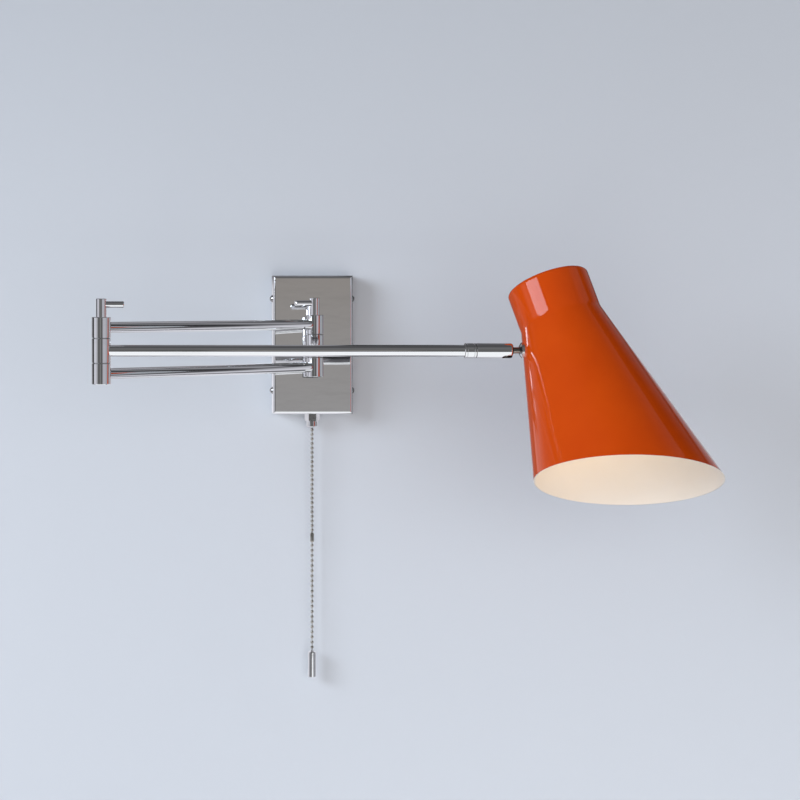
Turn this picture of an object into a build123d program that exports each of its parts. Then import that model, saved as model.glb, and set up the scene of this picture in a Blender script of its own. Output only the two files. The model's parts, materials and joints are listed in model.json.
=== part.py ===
from build123d import *
import os
from math import cos, radians, sin, sqrt, tan

os.makedirs("parts", exist_ok=True)

# Frame: the origin is the centre of the lamp's back on the wall, the wall is the plane Y = 0,
# the lamp stands out towards -Y, +X is to the right and +Z is up. All sizes are millimetres.

# ---- driving dimensions -------------------------------------------------------------------
# wall cover and bracket
cover_width = 76.0
cover_height = 132.0
cover_depth = 25.0
cover_sheet = 1.2
cover_fold_radius = 2.5
corner_slit = 0.6
bracket_sheet = 2.0
bracket_height = 118.0
bracket_fit = 0.1            # gap between the bracket's ears and the cover's sides
ear_width = 13.0
ear_reach = 19.0
wall_slot_spacing = 60.0
wall_slot_length = 12.0
wall_slot_width = 5.0
feed_hole_radius = 9.0
side_screw_height = 44.0     # above and below the centre
side_screw_depth = 12.0      # from the wall
side_screw_shank = 1.95
side_screw_head = 3.8
side_screw_dome = 2.6
side_screw_length = 7.0
screw_fit = 0.05
backing_width = 50.0
backing_height = 64.0
backing_sheet = 3.0

# hinge post and knuckle hinges
hinge_stand = 30.0           # cover face to wall hinge axis
post_radius = 5.0
post_shoulder_radius = 7.5
post_shoulder = 3.0
post_thread_radius = 4.9
post_bore_radius = 2.6
post_nut_across = 16.0
post_nut_height = 5.0
barrel_radius = 8.25
middle_knuckle = 21.0
outer_knuckle = 18.0
knuckle_land = 3.0
knuckle_chamber = 5.6
edge_break = 0.4
hinge_washer = 0.4
hinge_gap = 0.1
pin_radius = 3.0
pin_fit = 0.05
braze_depth = 1.5
flex_hole_radius = 2.6

# clamp bolts with their levers
clamp_stem_radius = 4.55
clamp_stem_height = 16.0
clamp_rod_radius = 2.75
clamp_rod_reach = 19.6       # from the bolt's axis
clamp_rod_rise = 10.9        # above the barrel's top
clamp_rod_seat = 2.0         # how far short of the axis the rod's socket ends
bolt_end_recess = 1.0
wall_lever_turn = 197.0      # heading of the wall lever, degrees from +X
elbow_lever_turn = 0.0

# arms
first_arm_length = 250.0     # wall hinge axis to elbow axis
first_arm_angle = 39.0       # between the first arm and the wall
first_tube_radius = 4.75
second_tube_radius = 5.0
tube_wall = 1.0
second_arm_length = 349.0    # elbow axis to the centre of the ball
flex_radius = 1.9

# swivel at the end of the second arm
swivel_radius = 6.5
collar_reach = 35.3          # collar's near end to the centre of the ball
collar_length = 10.0
collar_groove = 0.3
plug_length = 14.0
plug_fit = 0.05
journal_radius = 4.5
journal_length = 8.2
swivel_gap = 0.2
bush_length = 6.0
clip_thickness = 1.0
clip_radius = 5.05
ball_radius = 5.2
socket_fit = 0.05
sleeve_nose = 6.5            # sleeve's rounded end beyond the ball's centre
sleeve_nose_round = 2.2
slot_fit = 0.45              # each side of the stem's neck in the slot
thrust_washer = 1.0
spring_leaf = 0.5
spring_rise = 0.6
spring_count = 3

# ball stem and its flange
neck_radius = 2.85
stem_bore_radius = 1.7
stem_thread_radius = 4.0
shade_reach = 15.5           # ball centre to the shade's outside
flange_radius = 6.8
flange_thickness = 3.4
flange_flare_radius = 4.3
flange_flare = 1.6
shade_roll = 21.5            # turn of the swivel about the arm: mouth towards the room
stem_lift = 1.3              # rest angle of the stem above the arm's line
stem_nut_across = 13.0
stem_nut_height = 4.0
stem_washer_radius = 8.0
stem_washer = 1.0

# shade
shade_sheet = 1.0
shade_neck_radius = 36.1
shade_neck_length = 36.2
shade_top_round = 3.0
shade_throat_round = 14.0
shade_half_angle = 14.5
shade_cone_length = 150.0    # along the axis, from the throat to the mouth
mouth_cut_angle = 18.0
stem_below_throat = 17.3
vent_count = 8
vent_radius = 2.5
vent_ring_radius = 24.0

# lampholder, its bracket and the bulb
holder_strip_width = 14.0
holder_strip = 1.5
holder_strip_tail = 9.0      # bracket's end below the stem
holder_drop = 5.0            # inside of the shade's top to the bracket's shelf
holder_shelf_past_axis = 11.0
nipple_radius = 4.9
nipple_bore_radius = 3.2
nipple_nut_across = 14.0
nipple_nut_height = 3.0
holder_radius = 19.0
holder_length = 40.0
holder_wall = 2.0
holder_top_round = 6.0
holder_ring_radius = 21.5
holder_ring_height = 7.0
bulb_cap_radius = 13.2
bulb_cap_length = 26.0
bulb_inset = 20.0            # how far the bulb's cap goes into the holder
bulb_radius = 30.0
bulb_length = 104.0
bulb_throat_radius = 14.5
bulb_wall = 0.8
cap_fit = 0.1

# pull switch, bead chain and weight
switch_depth = 12.5          # from the wall to the chain
switch_width = 26.0
switch_thick = 16.0
switch_height = 28.0
nozzle_nut_across = 12.4
nozzle_nut_height = 7.3
nozzle_radius = 5.3
nozzle_length = 5.8
nozzle_thread_radius = 4.4
nozzle_bore_radius = 2.4
nozzle_mouth_radius = 4.3
stub_radius = 1.2
stub_length = 15.0
link_gap = 0.3
wire_radius = 0.5
bead_radius = 1.6
bead_pitch = 4.38
bead_count = 23
loose_bead_radius = 1.5
loose_bead_pitch = 4.89
loose_bead_count = 21
bead_sides = 8
coupling_radius = 1.95
coupling_length = 9.6
weight_radius = 3.85
weight_length = 24.6
weight_neck_radius = 1.5
weight_neck = 1.6

# terminal block and earth screw in the cover
terminal_width = 30.0
terminal_height = 12.0
terminal_thick = 13.0
terminal_centre_height = 46.0
terminal_pole_count = 3
terminal_pole_radius = 1.9
terminal_screw_depth = 2.0
earth_screw_radius = 3.4
earth_screw_head = 2.4
earth_screw_inset = 14.0     # from the cover's side
earth_screw_rise = 12.0      # above the centre

# ---- dependent sizes ------------------------------------------------------------------------
hinge_depth = cover_depth + hinge_stand
earth_screw_across = cover_width / 2 - earth_screw_inset
half_middle = middle_knuckle / 2
outer_start = half_middle + hinge_gap + hinge_washer
barrel_top = outer_start + outer_knuckle
tube_height = outer_start + outer_knuckle / 2
elbow_x = -first_arm_length * cos(radians(first_arm_angle))
elbow_y = -hinge_depth - first_arm_length * sin(radians(first_arm_angle))
slot_half = neck_radius + slot_fit
socket_radius = ball_radius + socket_fit
collar_start = second_arm_length - collar_reach
sleeve_start = collar_start + collar_length + swivel_gap
shade_slope = tan(radians(shade_half_angle))
shade_slant = cos(radians(shade_half_angle))
cover_bottom = -cover_height / 2
nozzle_mouth = cover_bottom - nozzle_nut_height - nozzle_length
chain_top = nozzle_mouth - 2 * link_gap

# ---- places of the moving groups --------------------------------------------------------------
wall_hinge = Pos(0, -hinge_depth, 0)
first_arm = wall_hinge * Rot(0, 0, 180 + first_arm_angle)
elbow = Pos(elbow_x, elbow_y, 0)
swivel = elbow * Rot(-shade_roll, 0, 0)
head = elbow * Pos(second_arm_length, 0, 0) * Rot(-shade_roll, 0, 0) * Rot(0, -stem_lift, 0)
attach_radius = shade_neck_radius + stem_below_throat * shade_slope
throat_x = shade_reach + attach_radius * shade_slant - stem_below_throat * sin(radians(shade_half_angle))
throat_z = attach_radius * sin(radians(shade_half_angle)) + stem_below_throat * shade_slant
shade_frame = head * Pos(throat_x, 0, throat_z) * Rot(0, -shade_half_angle, 0)
chain = Pos(0, -switch_depth, 0)


# ---- helpers ----------------------------------------------------------------------------------
def save(name, solid):
    """Write one sub-part under its own name."""
    solid.label = name
    export_step(solid, f"parts/{name}.step")


def profile(corners):
    """A flat face in the XZ plane through (radius, height) corners."""
    return make_face(Polyline(*[(r, 0, h) for r, h in corners], close=True))


def turned(*corners):
    """A turned solid about Z from (radius, height) corners."""
    return revolve(profile(corners), Axis.Z)


def ring(outer, inner, low, high):
    """A plain ring about Z between two heights."""
    return turned((inner, low), (outer, low), (outer, high), (inner, high))


def rod_z(radius, low, high):
    """A round bar along Z between two heights."""
    return Pos(0, 0, low) * Cylinder(radius, high - low, align=(Align.CENTER, Align.CENTER, Align.MIN))


def along_x(solid):
    """Lay a solid made along Z down along X."""
    return Rot(0, 90, 0) * solid


def along_minus_y(solid):
    """Turn a solid made along Z so that it points into the room."""
    return Rot(90, 0, 0) * solid


def hex_nut(across, bore, low, high):
    """A hexagon nut about Z with its top and bottom corners turned off."""
    corner = across / sqrt(3)
    bevel = (corner - across / 2) * 0.6
    blank = turned((0, low), (corner - bevel, low), (corner, low + bevel), (corner, high - bevel),
                   (corner - bevel, high), (0, high))
    prism = extrude(RegularPolygon(across / 2, 6, major_radius=False), high - low)
    return blank & (Pos(0, 0, low) * prism) - rod_z(bore, low - 1, high + 1)


def knuckle(low, high):
    """A hinge knuckle about Z: two bearing lands for the pin and a flex chamber between them."""
    bore = pin_radius + pin_fit
    return turned((bore, low), (barrel_radius - edge_break, low), (barrel_radius, low + edge_break),
                  (barrel_radius, high - edge_break), (barrel_radius - edge_break, high), (bore, high),
                  (bore, high - knuckle_land), (knuckle_chamber, high - knuckle_land),
                  (knuckle_chamber, low + knuckle_land), (bore, low + knuckle_land))


def flex_hole(height):
    """The hole along +X that lets the flex from a tube into a knuckle's chamber."""
    return Pos(0, 0, height) * along_x(rod_z(flex_hole_radius, 0, barrel_radius + 1))


# ---- wall cover, bracket and hinge post -------------------------------------------------------
def cover_box():
    """The folded cover: rounded front folds, slit corners, and holes for screws, post and switch."""
    outer = Pos(0, -cover_depth / 2, 0) * Box(cover_width, cover_depth, cover_height)
    outer = fillet(outer.faces().sort_by(Axis.Y)[0].edges(), cover_fold_radius)
    inner = Pos(0, -(cover_depth - cover_sheet) / 2, 0) * Box(
        cover_width - 2 * cover_sheet, cover_depth - cover_sheet, cover_height - 2 * cover_sheet)
    inner = fillet(inner.faces().sort_by(Axis.Y)[0].edges(), cover_fold_radius - cover_sheet)
    box = outer - inner
    slit_depth = cover_depth - cover_fold_radius
    for side in (-1, 1):
        for end in (-1, 1):
            place = Pos(side * cover_width / 2, -slit_depth / 2, end * cover_height / 2)
            box -= place * Rot(0, 45, 0) * Box(corner_slit, slit_depth, 4 * cover_sheet)
            hole = Pos(side * cover_width / 2, -side_screw_depth, end * side_screw_height)
            box -= hole * along_x(rod_z(side_screw_shank + screw_fit, -5, 5))
    box -= Pos(0, -cover_depth, 0) * along_minus_y(rod_z(post_thread_radius + screw_fit, -5, 5))
    box -= Pos(0, -switch_depth, cover_bottom) * rod_z(nozzle_thread_radius + screw_fit, -5, 5)
    return box


def wall_bracket():
    """The wall plate: two slots for wall screws, a feed hole and four folded ears with tapped holes."""
    width = cover_width - 2 * cover_sheet - 2 * bracket_fit
    plate = Pos(0, -bracket_sheet / 2, 0) * Box(width, bracket_sheet, bracket_height)
    for side in (-1, 1):
        for end in (-1, 1):
            ear = Pos(side * (width - bracket_sheet) / 2, -ear_reach / 2, end * side_screw_height)
            plate += ear * Box(bracket_sheet, ear_reach, ear_width)
    bends = plate.edges().filter_by(Axis.Z).filter_by(lambda e: abs(e.center().Y + bracket_sheet) < 0.01)
    bends = bends.filter_by(lambda e: e.length < ear_width + 0.01)
    plate = fillet(bends, bracket_sheet / 2)
    for end in (-1, 1):
        slot = extrude(SlotOverall(wall_slot_length, wall_slot_width, rotation=90), 4 * bracket_sheet, both=True)
        plate -= Pos(0, 0, end * wall_slot_spacing / 2) * along_minus_y(slot)
        for side in (-1, 1):
            hole = Pos(side * width / 2, -side_screw_depth, end * side_screw_height)
            plate -= hole * along_x(rod_z(side_screw_shank + screw_fit, -5, 5))
    plate -= along_minus_y(rod_z(feed_hole_radius, -5, 5))
    plate -= Pos(-earth_screw_across, 0, earth_screw_rise) * along_minus_y(rod_z(side_screw_shank, -5, 5))
    return plate


def cover_screw():
    """One dome-headed screw about Z: its head stands on Z = 0, the shank points down, a slot across."""
    head = Sphere(side_screw_head)
    head = Pos(0, 0, side_screw_dome - side_screw_head) * head & rod_z(side_screw_head, 0, side_screw_dome)
    slot = Pos(0, 0, side_screw_dome) * Box(2 * side_screw_head, 1.0, 1.6)
    return head + rod_z(side_screw_shank, -side_screw_length, 0.1) - slot


def cover_screws():
    """The four side screws, their heads on the cover's left and right walls."""
    screws = []
    for side in (-1, 1):
        for end in (-1, 1):
            place = Pos(side * cover_width / 2, -side_screw_depth, end * side_screw_height)
            screws.append(place * Rot(0, side * 90, 0) * cover_screw())
    return Compound(children=screws)


def backing_plate():
    """The stiffening plate behind the cover's face that spreads the post's load."""
    plate = Pos(0, 0, cover_depth - cover_sheet - backing_sheet / 2) * Box(
        backing_width, backing_height, backing_sheet)
    plate = fillet(plate.edges().filter_by(Axis.Z), 4.0)
    return along_minus_y(plate - rod_z(post_thread_radius + screw_fit, 0, cover_depth))


def hinge_post():
    """The hollow post: thread through the cover, shoulder on its face, end brazed in the knuckle."""
    seat = cover_depth
    thread_start = cover_depth - cover_sheet - backing_sheet - post_nut_height - 2
    tip = hinge_depth - barrel_radius + braze_depth
    post = turned((post_bore_radius, thread_start), (post_thread_radius, thread_start),
                  (post_thread_radius, seat), (post_shoulder_radius, seat),
                  (post_shoulder_radius, seat + post_shoulder - edge_break),
                  (post_shoulder_radius - edge_break, seat + post_shoulder),
                  (post_radius, seat + post_shoulder), (post_radius, tip), (post_bore_radius, tip))
    return along_minus_y(post)


def post_nut():
    """The nut that clamps the post to the backing plate."""
    high = cover_depth - cover_sheet - backing_sheet
    return along_minus_y(hex_nut(post_nut_across, post_thread_radius, high - post_nut_height, high))


def wall_knuckle():
    """The fixed middle knuckle of the wall hinge, bored for the post's end and the flex."""
    body = knuckle(-half_middle, half_middle)
    socket = along_minus_y(rod_z(post_radius, -barrel_radius - 1, -barrel_radius + braze_depth))
    flex = along_minus_y(rod_z(flex_hole_radius, -barrel_radius, 0))
    return wall_hinge * (body - socket - flex)


def terminal_block():
    """Three-pole terminal block on the bracket, bored along X by its poles, with screw wells."""
    face = bracket_sheet + terminal_thick
    block = Pos(0, -bracket_sheet - terminal_thick / 2, terminal_centre_height) * Box(
        terminal_width, terminal_thick, terminal_height)
    block = fillet(block.edges().filter_by(Axis.Y), 1.0)
    pitch = terminal_width / terminal_pole_count
    for pole in range(terminal_pole_count):
        x = (pole - (terminal_pole_count - 1) / 2) * pitch
        well = Pos(x, -face, terminal_centre_height) * along_minus_y(
            rod_z(2 * terminal_pole_radius, -terminal_screw_depth, 1))
        pole_bore = Pos(x, -bracket_sheet - terminal_thick / 3, terminal_centre_height) * rod_z(
            terminal_pole_radius, -terminal_height, terminal_height)
        block -= well + pole_bore
    return block


def terminal_screws():
    """The slotted clamp screws in the terminal block's wells."""
    floor = bracket_sheet + terminal_thick - terminal_screw_depth
    pitch = terminal_width / terminal_pole_count
    screws = []
    for pole in range(terminal_pole_count):
        x = (pole - (terminal_pole_count - 1) / 2) * pitch
        screw = rod_z(1.8 * terminal_pole_radius, 0, terminal_screw_depth * 0.8)
        screw -= Pos(0, 0, terminal_screw_depth * 0.8) * Box(8, 0.8, 1.4)
        screws.append(Pos(x, -floor, terminal_centre_height) * along_minus_y(screw))
    return Compound(children=screws)


def earth_screw():
    """The earth screw in the bracket."""
    screw = rod_z(earth_screw_radius, bracket_sheet, bracket_sheet + earth_screw_head)
    screw += rod_z(side_screw_shank, 0.2, bracket_sheet + 0.1)
    screw -= Pos(0, 0, bracket_sheet + earth_screw_head) * Box(8, 0.9, 1.6)
    return Pos(-earth_screw_across, 0, earth_screw_rise) * along_minus_y(screw)


# ---- pull switch --------------------------------------------------------------------------------
def switch_body():
    """The pull switch's housing, standing on the cover's floor, with the bore for the pull stub."""
    floor = cover_bottom + cover_sheet
    body = Pos(0, 0, floor + switch_height / 2) * Box(switch_width, switch_thick, switch_height)
    body = fillet(body.edges().filter_by(Axis.Z), 2.0)
    body = chamfer(body.faces().sort_by(Axis.Z)[-1].edges(), 1.0)
    body -= rod_z(nozzle_thread_radius, floor - 1, floor + 3)
    return chain * (body - rod_z(nozzle_bore_radius, floor, floor + 0.7 * switch_height))


def switch_nut():
    """The hexagon nut under the cover that holds the switch."""
    return chain * hex_nut(nozzle_nut_across, nozzle_thread_radius, cover_bottom - nozzle_nut_height, cover_bottom)


def switch_nozzle():
    """The threaded nozzle with its bell mouth, where the chain comes out."""
    shoulder = cover_bottom - nozzle_nut_height
    top = cover_bottom + cover_sheet + 3
    return chain * turned((nozzle_bore_radius, top), (nozzle_thread_radius, top),
                          (nozzle_thread_radius, shoulder), (nozzle_radius, shoulder),
                          (nozzle_radius, nozzle_mouth + 1), (nozzle_radius - 1, nozzle_mouth),
                          (nozzle_mouth_radius - 0.4, nozzle_mouth), (nozzle_bore_radius, nozzle_mouth + 2.5))


def pull_stub():
    """The switch's pull stub: a rod in the nozzle with a head inside the housing."""
    low = nozzle_mouth - link_gap
    head_radius = nozzle_bore_radius - 0.1
    return chain * turned((0, low), (wire_radius, low), (stub_radius, low + 2), (stub_radius, low + stub_length),
                          (head_radius, low + stub_length), (head_radius, low + stub_length + 3),
                          (0, low + stub_length + 3))


def bead_run(top, count, pitch, radius):
    """A run of bead chain below top: faceted beads on their link wires, as one ruled loft."""
    belt = 0.38 * radius
    shoulder = sqrt(radius ** 2 - wire_radius ** 2)
    levels = [(wire_radius, top)]
    for bead in range(count):
        centre = top - (bead + 0.5) * pitch
        levels += [(wire_radius, centre + shoulder), (radius, centre + belt),
                   (radius, centre - belt), (wire_radius, centre - shoulder)]
    levels.append((wire_radius, top - count * pitch))
    sections = [Pos(0, 0, height) * RegularPolygon(size, bead_sides) for size, height in levels]
    return loft(sections, ruled=True)


upper_chain_end = chain_top - bead_count * bead_pitch
coupling_end = upper_chain_end - coupling_length
lower_chain_top = coupling_end - link_gap
lower_chain_end = lower_chain_top - loose_bead_count * loose_bead_pitch


def upper_chain():
    """The close-set bead chain from the switch to the coupling."""
    return chain * bead_run(chain_top, bead_count, bead_pitch, bead_radius)


def chain_coupling():
    """The clasp that joins the two chains: a rounded sleeve with a window slot."""
    waist = coupling_radius - 0.25
    sleeve = turned((0, coupling_end), (wire_radius + 0.5, coupling_end), (coupling_radius, coupling_end + 1.6),
                    (waist, coupling_end + coupling_length / 2), (coupling_radius, upper_chain_end - 1.6),
                    (wire_radius + 0.5, upper_chain_end), (0, upper_chain_end))
    window = Pos(0, -coupling_radius, (upper_chain_end + coupling_end) / 2) * Box(
        1.2, coupling_radius, coupling_length - 4)
    return chain * (sleeve - window)


def lower_chain():
    """The wider-set bead chain from the coupling to the weight."""
    return chain * bead_run(lower_chain_top, loose_bead_count, loose_bead_pitch, loose_bead_radius)


def pull_weight():
    """The turned weight at the chain's end, with a small neck that grips the last bead."""
    top = lower_chain_end - weight_neck
    low = top - weight_length
    break_ = 0.7
    return chain * turned((0, low), (weight_radius - break_, low), (weight_radius, low + break_),
                          (weight_radius, top - break_), (weight_radius - break_, top),
                          (weight_neck_radius, top), (weight_neck_radius, lower_chain_end), (0, lower_chain_end))


# ---- first arm ------------------------------------------------------------------------------------
def first_arm_knuckle(end, at_elbow):
    """An outer knuckle of the first arm: end is +1 for the top ones and -1 for the bottom ones."""
    low = outer_start if end > 0 else -barrel_top
    body = knuckle(low, low + outer_knuckle)
    heading = 180 if at_elbow else 0
    reach = first_arm_length if at_elbow else 0
    return first_arm * Pos(reach, 0, 0) * (body - Rot(0, 0, heading) * flex_hole(end * tube_height))


def hinge_washers(at_elbow):
    """The two thin washers in one hinge, each on its outer knuckle."""
    reach = first_arm_length if at_elbow else 0
    bore = pin_radius + pin_fit
    washers = []
    for low in (outer_start - hinge_washer, -outer_start):
        washer = ring(barrel_radius - 2 * edge_break, bore, low, low + hinge_washer)
        washers.append(first_arm * Pos(reach, 0, 0) * washer)
    return Compound(children=washers)


def tube_between(radius, start, end, height, cope_start, cope_end):
    """A tube along X, its ends coped to the barrels that stand at cope_start and cope_end."""
    tube = Pos(0, 0, height) * along_x(ring(radius, radius - tube_wall, start, end))
    for x in (cope_start, cope_end):
        if x is not None:
            tube -= Pos(x, 0, 0) * rod_z(barrel_radius, height - 2 * radius, height + 2 * radius)
    return tube


def first_arm_tube(end):
    """One of the first arm's twin tubes, coped onto the knuckles at both hinges."""
    tube = tube_between(first_tube_radius, 0, first_arm_length, end * tube_height, 0, first_arm_length)
    return first_arm * tube.solids().sort_by(SortBy.VOLUME)[-1]


def first_flex():
    """The flex where it lies along the first arm's upper tube."""
    height = tube_height - (first_tube_radius - tube_wall - flex_radius)
    run = along_x(rod_z(flex_radius, barrel_radius, first_arm_length - barrel_radius))
    return first_arm * Pos(0, 0, height) * run


# ---- clamp bolts ------------------------------------------------------------------------------------
def clamp_rod():
    """A clamp lever's cross rod along +X, at its height above the hinge's centre."""
    tip = clamp_rod_reach
    rod = turned((0, clamp_rod_seat - clamp_stem_radius), (clamp_rod_radius, clamp_rod_seat - clamp_stem_radius),
                 (clamp_rod_radius, tip - 0.5), (clamp_rod_radius - 0.5, tip), (0, tip))
    return Pos(0, 0, barrel_top + clamp_rod_rise) * along_x(rod)


def clamp_bolt():
    """A hinge pin and clamp bolt in one: head on the barrel, shank through all three knuckles."""
    seat = barrel_top + hinge_gap
    top = barrel_top + clamp_stem_height
    low = -barrel_top + bolt_end_recess
    bolt = turned((0, low), (pin_radius - 0.5, low), (pin_radius, low + 0.5), (pin_radius, seat),
                  (clamp_stem_radius, seat), (clamp_stem_radius, top - edge_break),
                  (clamp_stem_radius - edge_break, top), (0, top))
    return bolt - clamp_rod()


# ---- second arm -----------------------------------------------------------------------------------------
def elbow_knuckle():
    """The second arm's knuckle, held between the first arm's two at the elbow."""
    return elbow * (knuckle(-half_middle, half_middle) - flex_hole(0))


def second_arm_tube():
    """The long tube from the elbow to the swivel's collar."""
    tube = tube_between(second_tube_radius, 0, collar_start, 0, 0, None)
    return elbow * tube.solids().sort_by(SortBy.VOLUME)[-1]


def second_flex():
    """The flex where it lies along the second arm's tube."""
    height = -(second_tube_radius - tube_wall - flex_radius)
    run = along_x(rod_z(flex_radius, barrel_radius, collar_start - plug_length - 1))
    return elbow * Pos(0, 0, height) * run


def swivel_collar():
    """The grooved collar on the tube's end, with a plug in the tube and a journal for the sleeve."""
    bore = flex_radius + 0.1
    plug = second_tube_radius - tube_wall - plug_fit
    start = collar_start
    end = start + collar_length
    grip = swivel_radius - collar_groove
    bands = []
    for share in (0.2, 0.8):
        middle = start + share * collar_length
        bands += [(swivel_radius, middle - 0.5), (grip, middle - 0.2), (grip, middle + 0.2), (swivel_radius, middle + 0.5)]
    collar = turned((bore, start - plug_length), (plug, start - plug_length), (plug, start),
                    (swivel_radius - edge_break, start), (swivel_radius, start + edge_break), *bands,
                    (swivel_radius, end - edge_break), (swivel_radius - edge_break, end), (journal_radius, end),
                    (journal_radius, end + journal_length), (bore, end + journal_length))
    return elbow * along_x(collar)


def retaining_clip():
    """The clip on the journal that keeps the sleeve from pulling off."""
    low = sleeve_start + bush_length + swivel_gap
    clip = ring(clip_radius, journal_radius, low, low + clip_thickness)
    return elbow * along_x(clip)


# ---- swivel sleeve with the slotted ball socket -----------------------------------------------------------
def swivel_sleeve():
    """The sleeve: round nose, ball socket, and the slot that lets the stem swing down to 90 degrees."""
    nose = second_arm_length + sleeve_nose
    sleeve = rod_z(swivel_radius, sleeve_start, nose)
    sleeve = fillet(sleeve.faces().sort_by(Axis.Z)[-1].edges(), sleeve_nose_round)
    sleeve = chamfer(sleeve.faces().sort_by(Axis.Z)[0].edges(), edge_break)
    sleeve -= rod_z(socket_radius, sleeve_start - 1, second_arm_length)
    sleeve -= Pos(0, 0, second_arm_length) * Sphere(socket_radius)
    sleeve -= rod_z(slot_half, second_arm_length, nose + 1)
    sleeve = along_x(sleeve)
    centre = Pos(second_arm_length, 0, 0)
    sleeve -= centre * rod_z(slot_half, -2 * swivel_radius, 0)
    slot = Box(2 * sleeve_nose, 2 * slot_half, 2 * swivel_radius, align=(Align.MIN, Align.CENTER, Align.MAX))
    return swivel * (sleeve - centre * slot)


def sleeve_bush():
    """The bush pressed into the sleeve's open end that turns on the collar's journal."""
    return swivel * along_x(ring(socket_radius, journal_radius + pin_fit, sleeve_start, sleeve_start + bush_length))


spring_start = sleeve_start + bush_length + 2 * swivel_gap + clip_thickness + thrust_washer + swivel_gap


def thrust_ring():
    """The ring that the disc springs push against."""
    return swivel * along_x(ring(socket_radius, journal_radius + pin_fit, spring_start - thrust_washer, spring_start))


def disc_springs():
    """Coned disc springs, stacked nose to nose, that press the seat onto the ball."""
    discs = []
    low = spring_start
    outer = socket_radius - socket_fit
    inner = flex_radius + 1.2
    for index in range(spring_count):
        rise = spring_rise if index % 2 else -spring_rise
        base = low + (spring_rise if rise < 0 else 0)
        discs.append(swivel * along_x(turned((outer, base), (inner, base + rise), (inner, base + rise + spring_leaf),
                                             (outer, base + spring_leaf))))
        low += spring_leaf + spring_rise
    return Compound(children=discs)


def ball_seat():
    """The cupped seat behind the ball."""
    low = spring_start + spring_count * (spring_leaf + spring_rise)
    cup = ring(ball_radius, flex_radius + 0.1, low, second_arm_length - slot_half)
    cup -= Pos(0, 0, second_arm_length) * Sphere(socket_radius)
    return swivel * along_x(cup)


# ---- ball stem, flange and shade ------------------------------------------------------------------------------
strip_sag = shade_neck_radius - shade_sheet - sqrt((shade_neck_radius - shade_sheet) ** 2 - holder_strip_width ** 2 / 4)
strip_face = shade_reach + shade_sheet + strip_sag
nut_face = strip_face + holder_strip + stem_washer
stem_end = nut_face + stem_nut_height + 1.5


def ball_stem():
    """The bored ball with its neck and the threaded end that passes through the shade."""
    flange_face = shade_reach - flange_thickness
    stem = rod_z(neck_radius, 0, flange_face) + rod_z(stem_thread_radius, flange_face, stem_end)
    stem = chamfer(stem.faces().sort_by(Axis.Z)[-1].edges(), 0.5)
    stem += Sphere(ball_radius)
    return head * along_x(stem - rod_z(stem_bore_radius, -2 * ball_radius, stem_end + 1))


def shade_cone_blank(inset, top, throat_round, top_round):
    """The shade's body of revolution about Z, drawn in by inset and cut square far below the mouth."""
    slant_inset = inset / shade_slant
    depth = 2 * shade_cone_length
    throat = shade_neck_radius - inset
    throat_height = (slant_inset - inset) / shade_slope
    foot = shade_neck_radius - slant_inset + depth * shade_slope
    face = profile([(0, top), (throat, top), (throat, throat_height), (foot, -depth), (0, -depth)])
    corners = face.vertices()
    top_corner = corners.sort_by_distance((throat, 0, top))[0]
    throat_corner = corners.sort_by_distance((throat, 0, throat_height))[0]
    face = fillet(top_corner, top_round)
    throat_corner = face.vertices().sort_by_distance((throat, 0, throat_height))[0]
    return revolve(fillet(throat_corner, throat_round), Axis.Z)


def shade():
    """The spun shade: neck with a closed, vented top, cone, and a mouth cut across at a slant."""
    outer = shade_cone_blank(0, shade_neck_length, shade_throat_round, shade_top_round)
    inner = shade_cone_blank(shade_sheet, shade_neck_length - shade_sheet, shade_throat_round + shade_sheet,
                             shade_top_round - shade_sheet)
    shell = outer - inner
    size = 4 * shade_cone_length
    below = Pos(0, 0, -shade_cone_length) * Rot(0, mouth_cut_angle, 0) * Box(
        size, size, size, align=(Align.CENTER, Align.CENTER, Align.MAX))
    shell -= below
    vents = PolarLocations(vent_ring_radius, vent_count) * rod_z(vent_radius, 0, 2 * shade_neck_length)
    shell = shade_frame * (shell - vents)
    return shell - head * along_x(rod_z(stem_thread_radius + screw_fit, 0, stem_end))


def stem_flange():
    """The flared flange outside the shade, its face hollowed to the cone it sits on."""
    start = shade_reach - flange_thickness
    end = shade_reach + 1
    flange = turned((stem_thread_radius, start + flange_flare), (stem_thread_radius, end), (flange_radius, end),
                    (flange_radius, start + flange_flare), (flange_flare_radius, start), (neck_radius, start),
                    (neck_radius, start + flange_flare))
    flange = head * along_x(flange)
    flange -= head * along_x(rod_z(stem_thread_radius, start, end + 1))
    return flange - shade_frame * shade_cone_blank(0, shade_neck_length, shade_throat_round, shade_top_round)


def stem_lock_washer():
    """The washer between the holder's bracket and the stem's nut."""
    return head * along_x(ring(stem_washer_radius, stem_thread_radius + screw_fit, nut_face - stem_washer, nut_face))


def stem_nut():
    """The nut that clamps bracket, shade and flange on the stem."""
    return head * along_x(hex_nut(stem_nut_across, stem_thread_radius, nut_face, nut_face + stem_nut_height))


# ---- lampholder and bulb --------------------------------------------------------------------------------------
shelf_height = shade_neck_length - shade_sheet - holder_drop


def strip_line(height):
    """Where the bracket's leg meets the shade's inside, as X in the shade's frame."""
    inside = shade_neck_radius - shade_sheet / shade_slant - height * shade_slope
    return -(inside - strip_sag / shade_slant)


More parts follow.
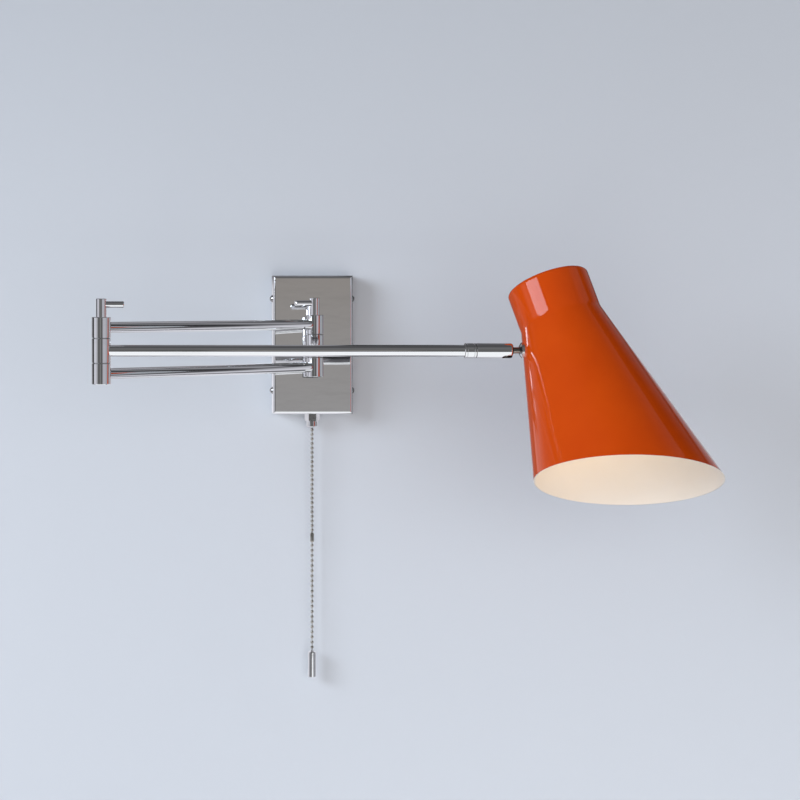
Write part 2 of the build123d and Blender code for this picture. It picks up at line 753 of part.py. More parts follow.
def holder_bracket():
    """The bent strip from the stem up into the neck, with a shelf that carries the lampholder."""
    low = -stem_below_throat - holder_strip_tail
    thick = holder_strip / shade_slant
    top = shelf_height + holder_strip
    leg = profile([(strip_line(low), low), (strip_line(top), top), (strip_line(top) + thick, top),
                   (strip_line(low) + thick, low)])
    shelf = profile([(strip_line(shelf_height), shelf_height), (strip_line(top), top), (holder_shelf_past_axis, top),
                     (holder_shelf_past_axis, shelf_height)])
    strip = extrude(leg, holder_strip_width / 2, both=True) + extrude(shelf, holder_strip_width / 2, both=True)
    strip = shade_frame * (strip - rod_z(nipple_radius + screw_fit, 0, 2 * top))
    return strip - head * along_x(rod_z(stem_thread_radius + screw_fit, 0, stem_end))


def holder_nipple():
    """The hollow threaded nipple that hangs the lampholder from the shelf."""
    high = shelf_height + holder_strip + nipple_nut_height
    return shade_frame * ring(nipple_radius, nipple_bore_radius, shelf_height - 2 * holder_wall, high)


def nipple_nut():
    """The nut on the shelf that holds the nipple."""
    low = shelf_height + holder_strip
    return shade_frame * hex_nut(nipple_nut_across, nipple_radius, low, low + nipple_nut_height)


def lampholder():
    """The lampholder's shell: a domed cup under the shelf, open to the bulb's cap."""
    low = shelf_height - holder_length
    cup = rod_z(holder_radius, low, shelf_height)
    cup = fillet(cup.faces().sort_by(Axis.Z)[-1].edges(), holder_top_round)
    cavity_top = low + bulb_inset + 1
    cup -= rod_z(bulb_cap_radius + cap_fit, low - 1, cavity_top)
    cup -= rod_z(nipple_radius, shelf_height - 2 * holder_wall, shelf_height + 1)
    return shade_frame * cup


def holder_ring():
    """The ring screwed round the lampholder's skirt."""
    low = shelf_height - holder_length + 3
    collar = ring(holder_ring_radius, holder_radius, low, low + holder_ring_height)
    return shade_frame * chamfer(collar.faces().sort_by(Axis.Z)[0].edges().sort_by(SortBy.LENGTH)[-1], 0.8)


def bulb_cap():
    """The bulb's screw cap, with its thread as rings and a contact at the top."""
    top = shelf_height - holder_length + bulb_inset
    low = top - bulb_cap_length
    root = bulb_cap_radius - 0.8
    turns = 4
    pitch = 3.6
    start = low + 6.5
    thread = []
    for turn in range(turns):
        base = start + turn * pitch
        thread += [(root, base), (bulb_cap_radius, base + pitch / 2)]
    thread.append((root, start + turns * pitch))
    return shade_frame * turned((0, low), (bulb_throat_radius - 1, low), (bulb_throat_radius - 1, low + 2),
                                *thread, (5.0, top - 2), (4.0, top), (0, top))


def bulb_form(inset):
    """The bulb's outline turned about Z: a round crown that narrows in one smooth line to the cap."""
    top = shelf_height - holder_length + bulb_inset - bulb_cap_length
    centre = shelf_height - holder_length + bulb_inset - bulb_length + bulb_radius
    crown_radius = bulb_radius - inset
    throat_radius = bulb_throat_radius - inset
    halfway = crown_radius * sin(radians(45))
    crown = ThreePointArc((0, 0, centre - crown_radius), (halfway, 0, centre - halfway), (crown_radius, 0, centre))
    flank = Spline((crown_radius, 0, centre), (throat_radius, 0, top), tangents=[(0, 0, 1), (-0.15, 0, 1)])
    rest = Polyline((throat_radius, 0, top), (0, 0, top), (0, 0, centre - crown_radius))
    return revolve(make_face([crown, flank, rest]), Axis.Z)


def bulb_glass():
    """The bulb's thin envelope, open where it sits in the cap."""
    return shade_frame * (bulb_form(0) - bulb_form(bulb_wall))


# ---- build ----------------------------------------------------------------------------------------------------
save("cover_box", cover_box())
save("wall_bracket", wall_bracket())
save("cover_screws", cover_screws())
save("backing_plate", backing_plate())
save("hinge_post", hinge_post())
save("post_nut", post_nut())
save("wall_knuckle", wall_knuckle())
save("terminal_block", terminal_block())
save("terminal_screws", terminal_screws())
save("earth_screw", earth_screw())
save("switch_body", switch_body())
save("switch_nut", switch_nut())
save("switch_nozzle", switch_nozzle())
save("pull_stub", pull_stub())
save("upper_chain", upper_chain())
save("chain_coupling", chain_coupling())
save("lower_chain", lower_chain())
save("pull_weight", pull_weight())
for end, word in ((1, "upper"), (-1, "lower")):
    save(f"first_arm_tube_{word}", first_arm_tube(end))
    save(f"wall_hinge_knuckle_{word}", first_arm_knuckle(end, False))
    save(f"elbow_hinge_knuckle_{word}", first_arm_knuckle(end, True))
save("wall_hinge_washers", hinge_washers(False))
save("elbow_hinge_washers", hinge_washers(True))
save("first_arm_flex", first_flex())
save("wall_clamp_bolt", wall_hinge * Rot(0, 0, wall_lever_turn) * clamp_bolt())
save("wall_clamp_lever", wall_hinge * Rot(0, 0, wall_lever_turn) * clamp_rod())
save("elbow_clamp_bolt", elbow * Rot(0, 0, elbow_lever_turn) * clamp_bolt())
save("elbow_clamp_lever", elbow * Rot(0, 0, elbow_lever_turn) * clamp_rod())
save("elbow_knuckle", elbow_knuckle())
save("second_arm_tube", second_arm_tube())
save("second_arm_flex", second_flex())
save("swivel_collar", swivel_collar())
save("retaining_clip", retaining_clip())
save("swivel_sleeve", swivel_sleeve())
save("sleeve_bush", sleeve_bush())
save("thrust_ring", thrust_ring())
save("disc_springs", disc_springs())
save("ball_seat", ball_seat())
save("ball_stem", ball_stem())
save("stem_flange", stem_flange())
save("shade", shade())
save("stem_lock_washer", stem_lock_washer())
save("stem_nut", stem_nut())
save("holder_bracket", holder_bracket())
save("holder_nipple", holder_nipple())
save("nipple_nut", nipple_nut())
save("lampholder", lampholder())
save("holder_ring", holder_ring())
save("bulb_cap", bulb_cap())
save("bulb_glass", bulb_glass())
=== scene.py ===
import json
from math import asin, pi, radians

import bpy
import numpy as np
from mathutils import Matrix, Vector


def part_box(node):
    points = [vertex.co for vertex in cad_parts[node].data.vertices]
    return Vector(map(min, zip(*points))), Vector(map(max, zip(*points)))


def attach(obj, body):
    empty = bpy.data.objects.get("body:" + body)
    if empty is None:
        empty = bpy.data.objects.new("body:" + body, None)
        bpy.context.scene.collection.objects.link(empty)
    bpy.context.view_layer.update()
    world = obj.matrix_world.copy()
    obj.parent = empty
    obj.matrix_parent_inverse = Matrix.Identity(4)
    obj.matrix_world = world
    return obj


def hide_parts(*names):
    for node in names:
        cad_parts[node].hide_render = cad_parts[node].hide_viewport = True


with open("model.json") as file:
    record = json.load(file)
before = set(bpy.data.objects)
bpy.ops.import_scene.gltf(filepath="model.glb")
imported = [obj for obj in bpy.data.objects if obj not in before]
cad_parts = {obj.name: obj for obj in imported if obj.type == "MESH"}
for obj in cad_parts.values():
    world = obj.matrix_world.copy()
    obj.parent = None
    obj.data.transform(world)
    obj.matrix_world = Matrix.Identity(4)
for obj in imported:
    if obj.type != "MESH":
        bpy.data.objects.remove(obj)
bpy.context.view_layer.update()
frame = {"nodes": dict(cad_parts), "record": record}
cad = frame["nodes"]

# ---- places that the finishes follow, in metres, from the lamp's own frame -------------------------
MM = 0.001
SHADE_THROAT = Vector((0.204540, -0.202051, 0.026094))   # centre of the bend between neck and cone
SHADE_AXIS = Vector((0.27228, -0.35265, -0.89526))       # from the throat towards the mouth
MOUTH_NORMAL = Vector((-0.03839, -0.36623, -0.92973))    # the way the cut mouth faces
INSIDE_SHADE = 0.06                                      # a point this far down the axis is well inside
ON_CUT_EDGE = 0.95                                       # a face this square to the mouth is its edge


# ---- node trees ------------------------------------------------------------------------------------
class Nodes:
    """A node tree with a short call for each kind of node."""

    def __init__(self, tree, output):
        self.tree = tree
        self.tree.nodes.clear()
        self.out = self.add(output)

    def add(self, kind, props=(), **sockets):
        """A node of this kind, with properties and with values or links for its named inputs."""
        node = self.tree.nodes.new(kind)
        for key, value in dict(props).items():
            setattr(node, key, value)
        for key, value in sockets.items():
            self.put(node, key.replace("_", " "), value)
        return node

    def put(self, node, key, value):
        """Set or link one input, by name or, as i0, i1 and so on, by number."""
        by_number = key[0] == "i" and key[1:].isdigit()
        socket = node.inputs[int(key[1:])] if by_number else node.inputs[key]
        if isinstance(value, bpy.types.NodeSocket):
            self.tree.links.new(value, socket)
        else:
            socket.default_value = value

    def finish_with(self, shader):
        """This shader is what the tree shows."""
        self.tree.links.new(shader.outputs[0], self.out.inputs["Surface"])

    def span(self, value, low, high, to_low, to_high):
        """Map a value from one range to another and hold it there."""
        node = self.add("ShaderNodeMapRange", i0=value, i1=low, i2=high, i3=to_low, i4=to_high)
        return node.outputs[0]

    def share(self, value, low, high):
        """How far a value is from low to high, as 0 to 1."""
        return self.span(value, low, high, 0.0, 1.0)

    def math(self, operation, a, b=0.0, c=0.0):
        """One arithmetic step."""
        return self.add("ShaderNodeMath", {"operation": operation}, i0=a, i1=b, i2=c).outputs[0]

    def vector(self, operation, a, b=(0, 0, 0)):
        """One step of vector arithmetic."""
        node = self.add("ShaderNodeVectorMath", {"operation": operation}, i0=a, i1=b)
        return node.outputs["Value" if operation in ("DOT_PRODUCT", "LENGTH") else "Vector"]

    def colours(self, value, low, high, rows):
        """A colour for each value from low to high, by (value, grey level, blue against red) rows."""
        node = self.add("ShaderNodeValToRGB", Fac=self.share(value, low, high))
        ramp = node.color_ramp
        while len(ramp.elements) < len(rows):
            ramp.elements.new(0.5)
        for element, (place, level, blue) in zip(ramp.elements, rows):
            element.position = (place - low) / (high - low)
            element.color = (level, level, level * blue, 1.0)
        return node.outputs["Color"]

    def mix(self, share, one, other):
        """A colour between two others."""
        node = self.add("ShaderNodeMix", {"data_type": "RGBA"}, i0=share)
        for slot, colour in (("A", one), ("B", other)):
            socket = [s for s in node.inputs if s.name == slot and s.type == "RGBA"][0]
            if isinstance(colour, bpy.types.NodeSocket):
                self.tree.links.new(colour, socket)
            else:
                socket.default_value = rgb(*colour)
        return [s for s in node.outputs if s.type == "RGBA"][0]


class Finish(Nodes):
    """A material as it is mixed, in the piece's own coordinates."""

    def __init__(self, name):
        self.material = bpy.data.materials.new(name)
        self.material.use_nodes = True
        super().__init__(self.material.node_tree, "ShaderNodeOutputMaterial")
        self.spot = self.add("ShaderNodeTexCoord").outputs["Object"]

    def noise(self, scale, detail=2.0, roughness=0.5, stretch=None):
        """Smooth noise over the piece, drawn out along its axes by stretch."""
        place = self.spot
        if stretch:
            place = self.add("ShaderNodeMapping", i0=place, Scale=stretch).outputs[0]
        node = self.add("ShaderNodeTexNoise", Vector=place, Scale=scale, Detail=detail,
                        Roughness=roughness)
        return node.outputs["Fac"]

    def facing(self):
        """The way the surface faces, in the piece's own coordinates."""
        return self.add("ShaderNodeTexCoord").outputs["Normal"]

    def bump(self, height, depth, strength=1.0):
        """A relief of this depth in metres."""
        node = self.add("ShaderNodeBump", Strength=strength, Distance=depth, Height=height)
        return node.outputs["Normal"]

    def tilt(self, normal, lean):
        """A normal tipped by a lean."""
        return self.vector("NORMALIZE", self.vector("ADD", normal, lean))

    def surface(self, **sockets):
        """The main shader, from named inputs."""
        self.finish_with(self.add("ShaderNodeBsdfPrincipled", **sockets))
        return self.material


def rgb(*parts):
    """A colour for a shader's own socket."""
    return (*parts, 1.0)


# ---- finishes --------------------------------------------------------------------------------------
CHROME = (0.785, 0.79, 0.80), (0.735, 0.74, 0.75)
# near black, painted shade for the walls of slots and holes
BORE_PAINTED_SHADE = (0.03, 0.03, 0.03)
ORANGE = (0.59, 0.066, 0.0028), (0.545, 0.056, 0.0024)
CREAM = (0.87, 0.82, 0.765), (0.84, 0.785, 0.72)
ZINC = (0.56, 0.575, 0.59), (0.66, 0.665, 0.655)
OPAL = (0.97, 0.95, 0.90), (0.93, 0.90, 0.84)
LAMPLIGHT = (1.0, 0.74, 0.44), (1.0, 0.70, 0.40)


def polished_chrome(name, front_lean=0.0, bow=None, painted_shade_bore=None):
    """Mirror chrome: faint polishing haze and wipe marks.

    front_lean tips the normals of a flat front sheet up by this slope, and bow tips those of the whole
    piece. The argument after bow gives a level axis (y, z, radius): what lies nearer to it than the
    radius, the wall of a slot or of a hole through the piece, gets near-black painted shade.
    """
    f = Finish(name)
    haze = f.noise(38.0, 3.0, 0.6)
    wipes = f.noise(26.0, 4.0, 0.65, stretch=(1.0, 1.0, 5.0))
    rough = f.math("ADD", f.span(haze, 0.35, 0.75, 0.02, 0.05), f.span(wipes, 0.52, 0.8, 0.0, 0.05))
    tone = f.mix(f.share(wipes, 0.45, 0.8), *CHROME)
    normal = f.bump(f.noise(55.0, 2.0), 0.02 * MM, strength=0.5)
    if front_lean:
        ahead = f.vector("DOT_PRODUCT", f.facing(), (0.0, -1.0, 0.0))
        on_front = f.math("POWER", f.math("MAXIMUM", ahead, 0.0), 8.0)
        up = f.add("ShaderNodeCombineXYZ", Z=f.math("MULTIPLY", on_front, front_lean))
        normal = f.tilt(normal, up.outputs[0])
    if bow:
        normal = f.tilt(normal, bow)
    # painted shade: near black on the walls of slots and holes inside the piece's skin
    if painted_shade_bore:
        axis_y, axis_z, radius = painted_shade_bore
        off_axis = f.vector("MULTIPLY", f.vector("SUBTRACT", f.spot, (0.0, axis_y, axis_z)),
                            (0.0, 1.0, 1.0))
        inside = f.math("LESS_THAN", f.vector("LENGTH", off_axis), radius)
        tone = f.mix(inside, tone, BORE_PAINTED_SHADE)
    return f.surface(Base_Color=tone, Metallic=1.0, Roughness=rough, Normal=normal)


def turned_metal(name, light, dark, rough_low, rough_high, scale=900.0):
    """Machined metal: fine turning lines round the piece with small changes of tone."""
    f = Finish(name)
    lines = f.noise(scale, 2.0, 0.5, stretch=(0.06, 0.06, 1.0))
    cloud = f.noise(140.0, 3.0, 0.6)
    rough = f.span(f.math("MULTIPLY", lines, cloud), 0.1, 0.45, rough_low, rough_high)
    return f.surface(Base_Color=f.mix(f.share(cloud, 0.3, 0.7), light, dark), Metallic=1.0,
                     Roughness=rough, Normal=f.bump(lines, 0.02 * MM))


def zinc_plate(name):
    """Zinc-plated steel: a cool grey with soft crystal patches and a faint yellow cast."""
    f = Finish(name)
    patch = f.add("ShaderNodeTexVoronoi", Vector=f.spot, Scale=170.0).outputs["Color"]
    value = f.add("ShaderNodeSeparateColor", Color=patch).outputs[0]
    grain = f.span(f.noise(420.0), 0.3, 0.7, 0.0, 0.08)
    rough = f.math("ADD", f.span(value, 0.0, 1.0, 0.3, 0.42), grain)
    return f.surface(Base_Color=f.mix(value, *ZINC), Metallic=1.0, Roughness=rough,
                     Normal=f.bump(f.noise(600.0), 0.01 * MM))


def moulded_plastic(name, light, dark, rough):
    """Moulded plastic with a fine spark-eroded grain."""
    f = Finish(name)
    grain = f.noise(1600.0, 2.0, 0.6)
    tone = f.mix(f.share(f.noise(90.0, 3.0), 0.3, 0.7), light, dark)
    return f.surface(Base_Color=tone, Roughness=f.span(grain, 0.3, 0.7, rough, rough + 0.12),
                     Normal=f.bump(grain, 0.03 * MM))


def shade_enamel(name):
    """Gloss orange enamel outside and cream enamel inside, told apart by which way the sheet faces."""
    f = Finish(name)
    from_axis = f.vector("SUBTRACT", f.spot, tuple(SHADE_THROAT + SHADE_AXIS * INSIDE_SHADE))
    facing = f.facing()
    outer = f.math("GREATER_THAN", f.vector("DOT_PRODUCT", facing, from_axis), 0.0)
    along_mouth = f.vector("DOT_PRODUCT", facing, tuple(MOUTH_NORMAL))
    outside = f.math("MULTIPLY", outer, f.math("LESS_THAN", along_mouth, ON_CUT_EDGE))
    cloud = f.share(f.noise(14.0, 3.0, 0.55), 0.35, 0.68)
    tone = f.mix(outside, f.mix(cloud, *CREAM), f.mix(cloud, *ORANGE))
    drift = f.span(f.noise(60.0, 3.0), 0.3, 0.7, -0.02, 0.02)
    rough = f.math("ADD", f.span(outside, 0.0, 1.0, 0.38, 0.06), drift)
    peel = f.bump(f.noise(420.0, 2.0, 0.5), 0.008 * MM, strength=0.5)
    return f.surface(Base_Color=tone, Roughness=rough, Normal=peel, Specular_IOR_Level=0.24)


def opal_glass(name):
    """The bulb's opal envelope, lit low and warm."""
    f = Finish(name)
    cloud = f.noise(30.0, 3.0)
    share = f.share(cloud, 0.3, 0.7)
    return f.surface(Base_Color=f.mix(share, *OPAL), Roughness=f.span(cloud, 0.3, 0.7, 0.12, 0.2),
                     Emission_Color=f.mix(share, *LAMPLIGHT), Emission_Strength=2.2)


finishes = {"polished_chrome": polished_chrome("polished_chrome_plate"),
            "zinc_steel": zinc_plate("zinc_plated_steel"),
            "orange_enamel": shade_enamel("orange_and_cream_enamel"),
            "opal_glass": opal_glass("opal_glass_envelope")}
# by slot: name, light and dark tone, lowest and highest roughness, and for some the lines' scale
for slot, name, light, dark, *grain in (
        ("chrome_screw", "machined_chrome", (0.74, 0.74, 0.74), (0.64, 0.64, 0.64), 0.12, 0.26),
        ("bead_chain", "nickel_bead", (0.46, 0.44, 0.405), (0.33, 0.315, 0.29), 0.14, 0.3, 1500.0),
        ("hinge_washer", "spring_steel", (0.26, 0.25, 0.24), (0.2, 0.195, 0.19), 0.3, 0.45),
        ("brass", "turned_brass", (0.70, 0.50, 0.22), (0.60, 0.41, 0.17), 0.18, 0.34),
        ("bulb_cap_metal", "bare_aluminium", (0.72, 0.72, 0.71), (0.62, 0.62, 0.61), 0.22, 0.4)):
    finishes[slot] = turned_metal(name, light, dark, *grain)
for slot, name, light, dark, rough in (
        ("black_plastic", "black_moulding", (0.022, 0.022, 0.023), (0.032, 0.031, 0.031), 0.34),
        ("terminal_plastic", "natural_nylon", (0.78, 0.76, 0.68), (0.70, 0.68, 0.60), 0.38),
        ("flex_sheath", "flex_sheath_rubber", (0.72, 0.72, 0.70), (0.66, 0.66, 0.63), 0.45)):
    finishes[slot] = moulded_plastic(name, light, dark, rough)

# pieces whose finish differs a little from the others of their slot; the sleeve and the cover's screws
# carry painted shade
sleeve_low, sleeve_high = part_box("swivel_sleeve")
sleeve_middle = (sleeve_low + sleeve_high) / 2
# the sleeve gets painted shade inside this radius
painted_shade_radius = (sleeve_high.z - sleeve_low.z) / 2 - 0.3 * MM
twin_tube_chrome = polished_chrome("polished_chrome_twin_tube", bow=(0.124, 0.100, 0.0))
own_finishes = {
    "cover_box": polished_chrome("polished_chrome_sheet", front_lean=0.055),
    "first_arm_tube_upper": twin_tube_chrome,
    "first_arm_tube_lower": twin_tube_chrome,
    "swivel_sleeve": polished_chrome("polished_chrome_sleeve_painted_shade",
                                     painted_shade_bore=(sleeve_middle.y, sleeve_middle.z, painted_shade_radius)),
    "ball_stem": turned_metal("blackened_ball_steel", (0.30, 0.28, 0.25), (0.21, 0.195, 0.175),
                              0.14, 0.26),
    # painted shade: the screws at the cover's sides get a darker copy of the screw chrome
    "cover_screws": turned_metal("machined_screw_chrome_painted_shade", (0.46, 0.46, 0.46), (0.38, 0.38, 0.38),
                                 0.12, 0.26),
}

slot_of = {part["node"]: part["material_slot"] for part in frame["record"]["subparts"]}
for node, piece in cad.items():
    piece.data.materials.clear()
    piece.data.materials.append(own_finishes.get(node) or finishes[slot_of[node]])


# ---- the bead chains -------------------------------------------------------------------------------
def round_mesh(name, grid, body, finish, replaces=()):
    """A piece from a grid of points: rows along the shape, columns round it, joined row to row."""
    rows, columns = grid.shape[:2]
    corner = np.arange(rows * columns).reshape(rows, columns)
    around = np.roll(corner, -1, axis=1)
    quads = np.stack([corner[:-1], around[:-1], around[1:], corner[1:]], axis=-1).reshape(-1, 4)
    mesh = bpy.data.meshes.new(name)
    mesh.from_pydata(grid.reshape(-1, 3).tolist(), [], quads.tolist())
    mesh.polygons.foreach_set("use_smooth", np.ones(len(quads), bool))
    mesh.materials.append(finish)
    mesh.update()
    piece = bpy.data.objects.new(name, mesh)
    bpy.context.scene.collection.objects.link(piece)
    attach(piece, body)
    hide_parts(*replaces)


def turned_grid(profile, centre, columns):
    """Points of a surface turned about a vertical line: each (radius, height) carried round it."""
    turn = np.linspace(0.0, 2.0 * pi, columns, endpoint=False)
    radius, height = profile[:, 0, None], profile[:, 1, None]
    return np.stack([centre[0] + radius * np.cos(turn), centre[1] + radius * np.sin(turn),
                     height + 0.0 * turn], axis=-1)


BEAD_ROWS, BEAD_COLUMNS = 9, 14
LINK_WIRE_RADIUS = 0.5 * MM


def bead_string(node, count, bead_radius, wire_radius):
    """Round beads on their link wire: sphere arcs of one radius, joined by short straight wire."""
    low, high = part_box(node)
    pitch = (high.z - low.z) / count
    edge = asin(wire_radius / bead_radius)
    arc = np.linspace(edge, pi - edge, BEAD_ROWS)
    middles = high.z - (np.arange(count) + 0.5) * pitch
    radius = np.tile(bead_radius * np.sin(arc), count)
    height = (middles[:, None] + bead_radius * np.cos(arc)).ravel()
    profile = np.vstack([[[0.0, high.z], [wire_radius, high.z]],
                         np.column_stack([radius, height]),
                         [[wire_radius, low.z], [0.0, low.z]]])
    return turned_grid(profile, (low + high) / 2, BEAD_COLUMNS)


for node, body, count, radius in (("upper_chain", "chain_upper_part", 23, 1.6 * MM),
                                  ("lower_chain", "chain_lower_part", 21, 1.5 * MM)):
    round_mesh(node + "_beads", bead_string(node, count, radius, LINK_WIRE_RADIUS), body,
               finishes["bead_chain"], [node])


# ---- the wall and the floor ------------------------------------------------------------------------
WALL_LEFT, WALL_RIGHT, WALL_TOP, FLOOR = -0.46, 1.35, 1.1, -0.75
BACK, FRONT = 0.0006, -2.6
# what mirrors show of the floor is a painted reflection, brighter than white
FLOOR_PAINT, FLOOR_PAINTED_REFLECTION = rgb(0.72, 0.72, 0.71), rgb(1.12, 1.14, 1.17)
# The wall's colour carries painted light, graded from the darker to the lighter of these two paints.
PAINTED_LIGHT_GROWS = (0.28, 0.0, -0.45)                      # the way in which the painted light on the wall grows
WALL_PAINT_SHADED_TO_LIT = (0.42, 0.4375, 0.468), (0.78, 0.8125, 0.868)
# Rows of metres, level and blue against red, for the wall's painted reflection between two limits; the
# dark bands just right of and above the cover are its painted shadow
MIRRORED_FROM, MIRRORED_TO = -0.5, 1.0
WALL_REFLECTION_ACROSS = (
    (-0.5, 0.35, 1.0), (-0.2, 0.4, 1.0), (-0.06, 0.85, 1.0), (0.03, 0.85, 1.0), (0.045, 0.14, 1.0),
    (0.13, 0.2, 1.0), (0.2, 0.7, 1.0), (0.3, 0.75, 1.0), (0.54, 0.45, 1.0), (0.75, 0.12, 1.0),
    (1.0, 0.08, 1.0))
WALL_REFLECTION_UP = (
    (-0.5, 1.0, 1.08), (-0.05, 1.0, 1.08), (0.0, 0.85, 1.08), (0.055, 0.8, 1.08),
    (0.068, 0.06, 1.08), (0.092, 0.1, 1.08), (0.12, 0.5, 1.08), (0.3, 0.4, 1.08),
    (0.45, 0.12, 1.08), (0.7, 0.06, 1.08))


def plain_board(name, corners, paint, mirrored):
    """A pale board that the camera can't see from behind. Mirrors show a painted reflection of it, a
    glow at a level of its own.
    """
    mesh = bpy.data.meshes.new(name)
    mesh.from_pydata(corners, [], [(0, 1, 2, 3)])
    f = Finish(name + "_paint")
    ray = f.add("ShaderNodeLightPath").outputs
    rough = f.span(f.noise(3.0, 4.0), 0.3, 0.7, 0.7, 0.85)
    shader = f.add("ShaderNodeBsdfPrincipled", Base_Color=paint(f), Roughness=rough,
                   Normal=f.bump(f.noise(70.0, 4.0, 0.6), 0.4 * MM, strength=0.3))
    away = f.math("MULTIPLY", f.add("ShaderNodeNewGeometry").outputs["Backfacing"],
                  ray["Is Camera Ray"])
    blend = f.add("ShaderNodeMixShader", Fac=away, i1=shader.outputs[0],
                  i2=f.add("ShaderNodeBsdfTransparent").outputs[0])
    # painted reflection: mirror rays see this glow, not the lit board
    lit = f.add("ShaderNodeEmission", Color=mirrored(f), Strength=1.0)
    f.finish_with(f.add("ShaderNodeMixShader", Fac=ray["Is Glossy Ray"], i1=blend.outputs[0],
                        i2=lit.outputs[0]))
    mesh.materials.append(f.material)
    board = bpy.data.objects.new(name, mesh)
    bpy.context.scene.collection.objects.link(board)


def wall_paint_with_painted_light(f):
    """Blue-white paint with painted light, a shade lighter low down and to the right."""
    shade = f.vector("DOT_PRODUCT", f.spot, PAINTED_LIGHT_GROWS)
    return f.mix(f.share(shade, -0.27, 0.33), *WALL_PAINT_SHADED_TO_LIT)


def wall_painted_reflection(f):
    """The wall's painted reflection, as the chrome shows it: pale behind the lamp, with a painted
    shadow just right of and above the cover, and dark far to the right and high up.
    """
    place = f.add("ShaderNodeSeparateXYZ", Vector=f.spot).outputs
    return f.vector("MULTIPLY", f.colours(place["X"], MIRRORED_FROM, MIRRORED_TO, WALL_REFLECTION_ACROSS),
                    f.colours(place["Z"], MIRRORED_FROM, MIRRORED_TO, WALL_REFLECTION_UP))


plain_board("wall", [(WALL_LEFT, BACK, FLOOR), (WALL_RIGHT, BACK, FLOOR),
                     (WALL_RIGHT, BACK, WALL_TOP), (WALL_LEFT, BACK, WALL_TOP)],
            wall_paint_with_painted_light, wall_painted_reflection)
plain_board("floor", [(WALL_LEFT, BACK, FLOOR), (WALL_LEFT, FRONT, FLOOR),
                      (WALL_RIGHT, FRONT, FLOOR), (WALL_RIGHT, BACK, FLOOR)],
            lambda f: FLOOR_PAINT, lambda f: FLOOR_PAINTED_REFLECTION)


# ---- the room that the chrome mirrors --------------------------------------------------------------
# Rows of degrees, level and blue against red. The rise goes from straight down at -90 to straight up
# at 90. The turn is 0 straight out from the wall, -90 to the left along it and 90 to the right.
ROOM_BY_RISE = (
    (-90, 1.25, 1.02), (-58, 1.15, 1.02), (-46, 0.95, 1.02), (-36, 0.42, 1.02), (-28, 0.15, 1.0),
    (-20, 0.09, 1.0), (-10, 0.08, 1.0), (-2, 0.10, 1.0), (10, 0.12, 1.0), (24, 0.16, 1.0),
    (45, 0.17, 1.03), (56, 0.12, 1.05), (64, 0.08, 1.05), (80, 0.09, 1.05), (90, 0.24, 1.05))
ROOM_BY_TURN = (
    (-180, 1.0, 1.0), (-125, 0.9, 1.05), (-95, 0.8, 1.05), (-89, 9.0, 1.1), (-79, 9.0, 1.1),
    (-74, 6.2, 1.1), (-60, 6.2, 1.1), (-46, 4.0, 1.05), (-36, 1.5, 1.0), (-22, 0.8, 1.0),
    (-11, 2.8, 1.0), (0, 1.0, 1.0), (13, 1.5, 1.0), (25, 5.2, 1.1), (51, 5.2, 1.1), (68, 4.0, 1.1),
    (98, 4.4, 1.1), (180, 1.0, 1.0))
FAR_WALL_BY_TURN = (62, 0.0, 1.0), (72, 1.0, 1.0), (112, 1.0, 1.0), (122, 0.0, 1.0)
FAR_WALL_BY_RISE = (-38, 0.0, 1.0), (-24, 1.0, 1.0), (42, 1.0, 1.0), (58, 0.0, 1.0)
FAR_WALL = (0.38, 0.40, 0.435)
BOARD_TURN, BOARD_RISE = 3.6, 4.8                        # the pale board's middle, in degrees
BOARD_COLOURS = (0.362, 0.355, 0.354), (0.321, 0.298, 0.279)
PAST_THE_WALL = (0.62, 0.64, 0.68)                       # what the camera sees beside the wall


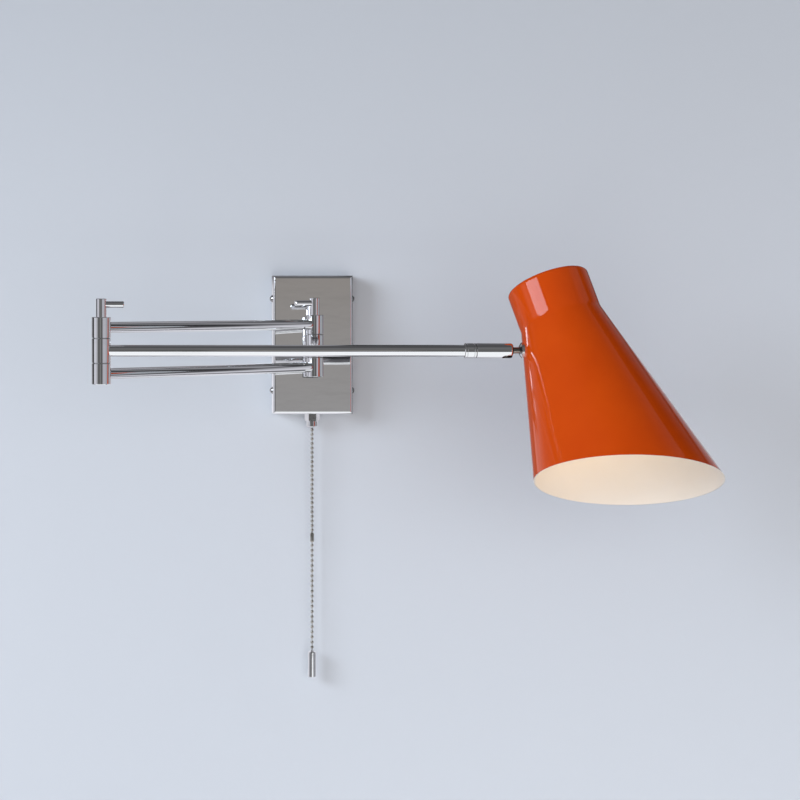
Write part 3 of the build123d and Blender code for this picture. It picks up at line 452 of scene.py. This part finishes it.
def room_around():
    """A room dark above and ahead, pale below, with bright sides, a far wall and a pale board."""
    world = bpy.data.worlds.new("room")
    bpy.context.scene.world = world
    world.use_nodes = True
    f = Nodes(world.node_tree, "ShaderNodeOutputWorld")
    way = f.add("ShaderNodeTexCoord").outputs["Generated"]
    x, y, z = f.add("ShaderNodeSeparateXYZ", Vector=way).outputs
    rise = f.math("DEGREES", f.math("ARCSINE", z))
    turn = f.math("DEGREES", f.math("ARCTAN2", x, f.math("MULTIPLY", y, -1.0)))

    by_rise = f.colours(rise, -90, 90, ROOM_BY_RISE)
    by_turn = f.colours(turn, -180, 180, ROOM_BY_TURN)
    off_level = f.share(f.math("ABSOLUTE", z), 0.10, 0.28)
    seen = f.vector("MULTIPLY", by_rise, f.mix(off_level, by_turn, (1.0, 1.0, 1.0)))

    far_wall = f.math("MULTIPLY", f.colours(turn, -180, 180, FAR_WALL_BY_TURN),
                      f.colours(rise, -90, 90, FAR_WALL_BY_RISE))
    seen = f.mix(far_wall, seen, FAR_WALL)

    across = f.math("ABSOLUTE", f.math("SUBTRACT", turn, BOARD_TURN))
    up = f.math("ABSOLUTE", f.math("SUBTRACT", rise, BOARD_RISE))
    board = f.math("MULTIPLY", f.span(across, 2.2, 3.2, 1.0, 0.0), f.span(up, 4.0, 5.5, 1.0, 0.0))
    seen = f.mix(board, seen, f.mix(f.share(rise, 2.9, 6.7), *BOARD_COLOURS))

    camera_ray = f.add("ShaderNodeLightPath").outputs["Is Camera Ray"]
    shown = f.mix(camera_ray, seen, PAST_THE_WALL)
    f.finish_with(f.add("ShaderNodeBackground", Color=shown, Strength=1.0))


room_around()


# ---- lights and camera -----------------------------------------------------------------------------
def soft_light(name, place, target, width, height, watts, colour, mirrored=False):
    """A soft rectangular light that looks at its target."""
    data = bpy.data.lights.new(name, "AREA")
    data.shape, data.size, data.size_y = "RECTANGLE", width, height
    data.energy, data.color = watts, colour
    lamp = bpy.data.objects.new(name, data)
    lamp.location = place
    lamp.rotation_euler = (Vector(target) - Vector(place)).to_track_quat("-Z", "Y").to_euler()
    lamp.visible_glossy = mirrored
    bpy.context.scene.collection.objects.link(lamp)


soft_light("window", (-1.66, -1.26, 0.59), (0.17, -0.2, 0.0), 1.18, 0.82, 30.0, (0.86, 0.95, 1.07),
           mirrored=True)
soft_light("left_side", (-2.4, -2.2, 0.2), (0.0, 0.0, 0.0), 2.6, 2.6, 10.0, (0.97, 0.98, 1.0))
soft_light("front", (0.2, -3.2, -0.3), (0.1, 0.0, -0.1), 2.8, 2.8, 48.0, (1.0, 0.985, 0.97))
soft_light("from_below", (0.3, -1.4, -1.2), (0.1, 0.0, -0.3), 2.2, 1.4, 20.0, (1.0, 0.99, 0.98))

camera_data = bpy.data.cameras.new("camera")
camera_data.sensor_width = 36.0
camera_data.lens = 93.14
camera_data.shift_x = 0.26875
camera_data.shift_y = -0.13875
camera = bpy.data.objects.new("camera", camera_data)
camera.location = (-0.122, -2.0, 0.0533)
camera.rotation_euler = (radians(90), 0.0, 0.0)
bpy.context.scene.collection.objects.link(camera)
bpy.context.scene.camera = camera
bpy.context.scene.view_settings.view_transform = "Standard"
